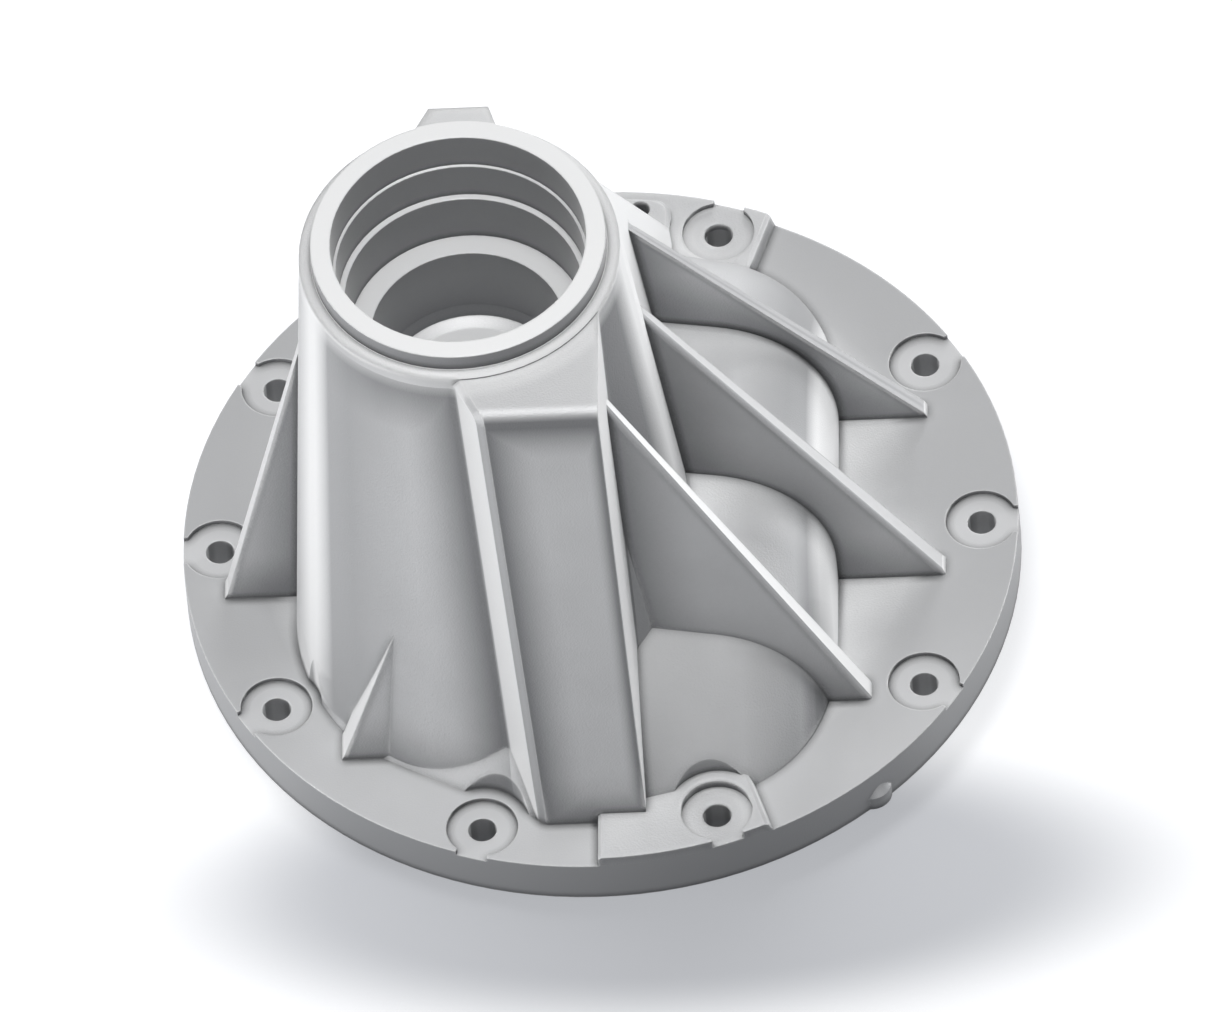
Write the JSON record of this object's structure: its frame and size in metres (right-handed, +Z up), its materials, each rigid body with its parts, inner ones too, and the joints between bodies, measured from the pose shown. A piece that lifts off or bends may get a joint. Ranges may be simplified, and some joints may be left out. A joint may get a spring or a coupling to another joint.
{
  "type": "ribbed cast housing",
  "caption": "Round flanged casting with a drafted tower holding a stepped blind bearing bore, a domed gear cover, a front boss, a back slope and tapering stiffening ribs.",
  "frame": {"origin": "centre of the flange's underside", "axes": "+Z up out of the flange towards the bore's mouth, +Y towards the rear slope, +X towards the three ribs"},
  "size_m": [0.25, 0.25, 0.1978],
  "materials": {
    "cast_aluminium": "as-cast, soft satin"
  },
  "bodies": {
    "root": {"ribbed_housing": "cast_aluminium"}
  },
  "joints": []
}
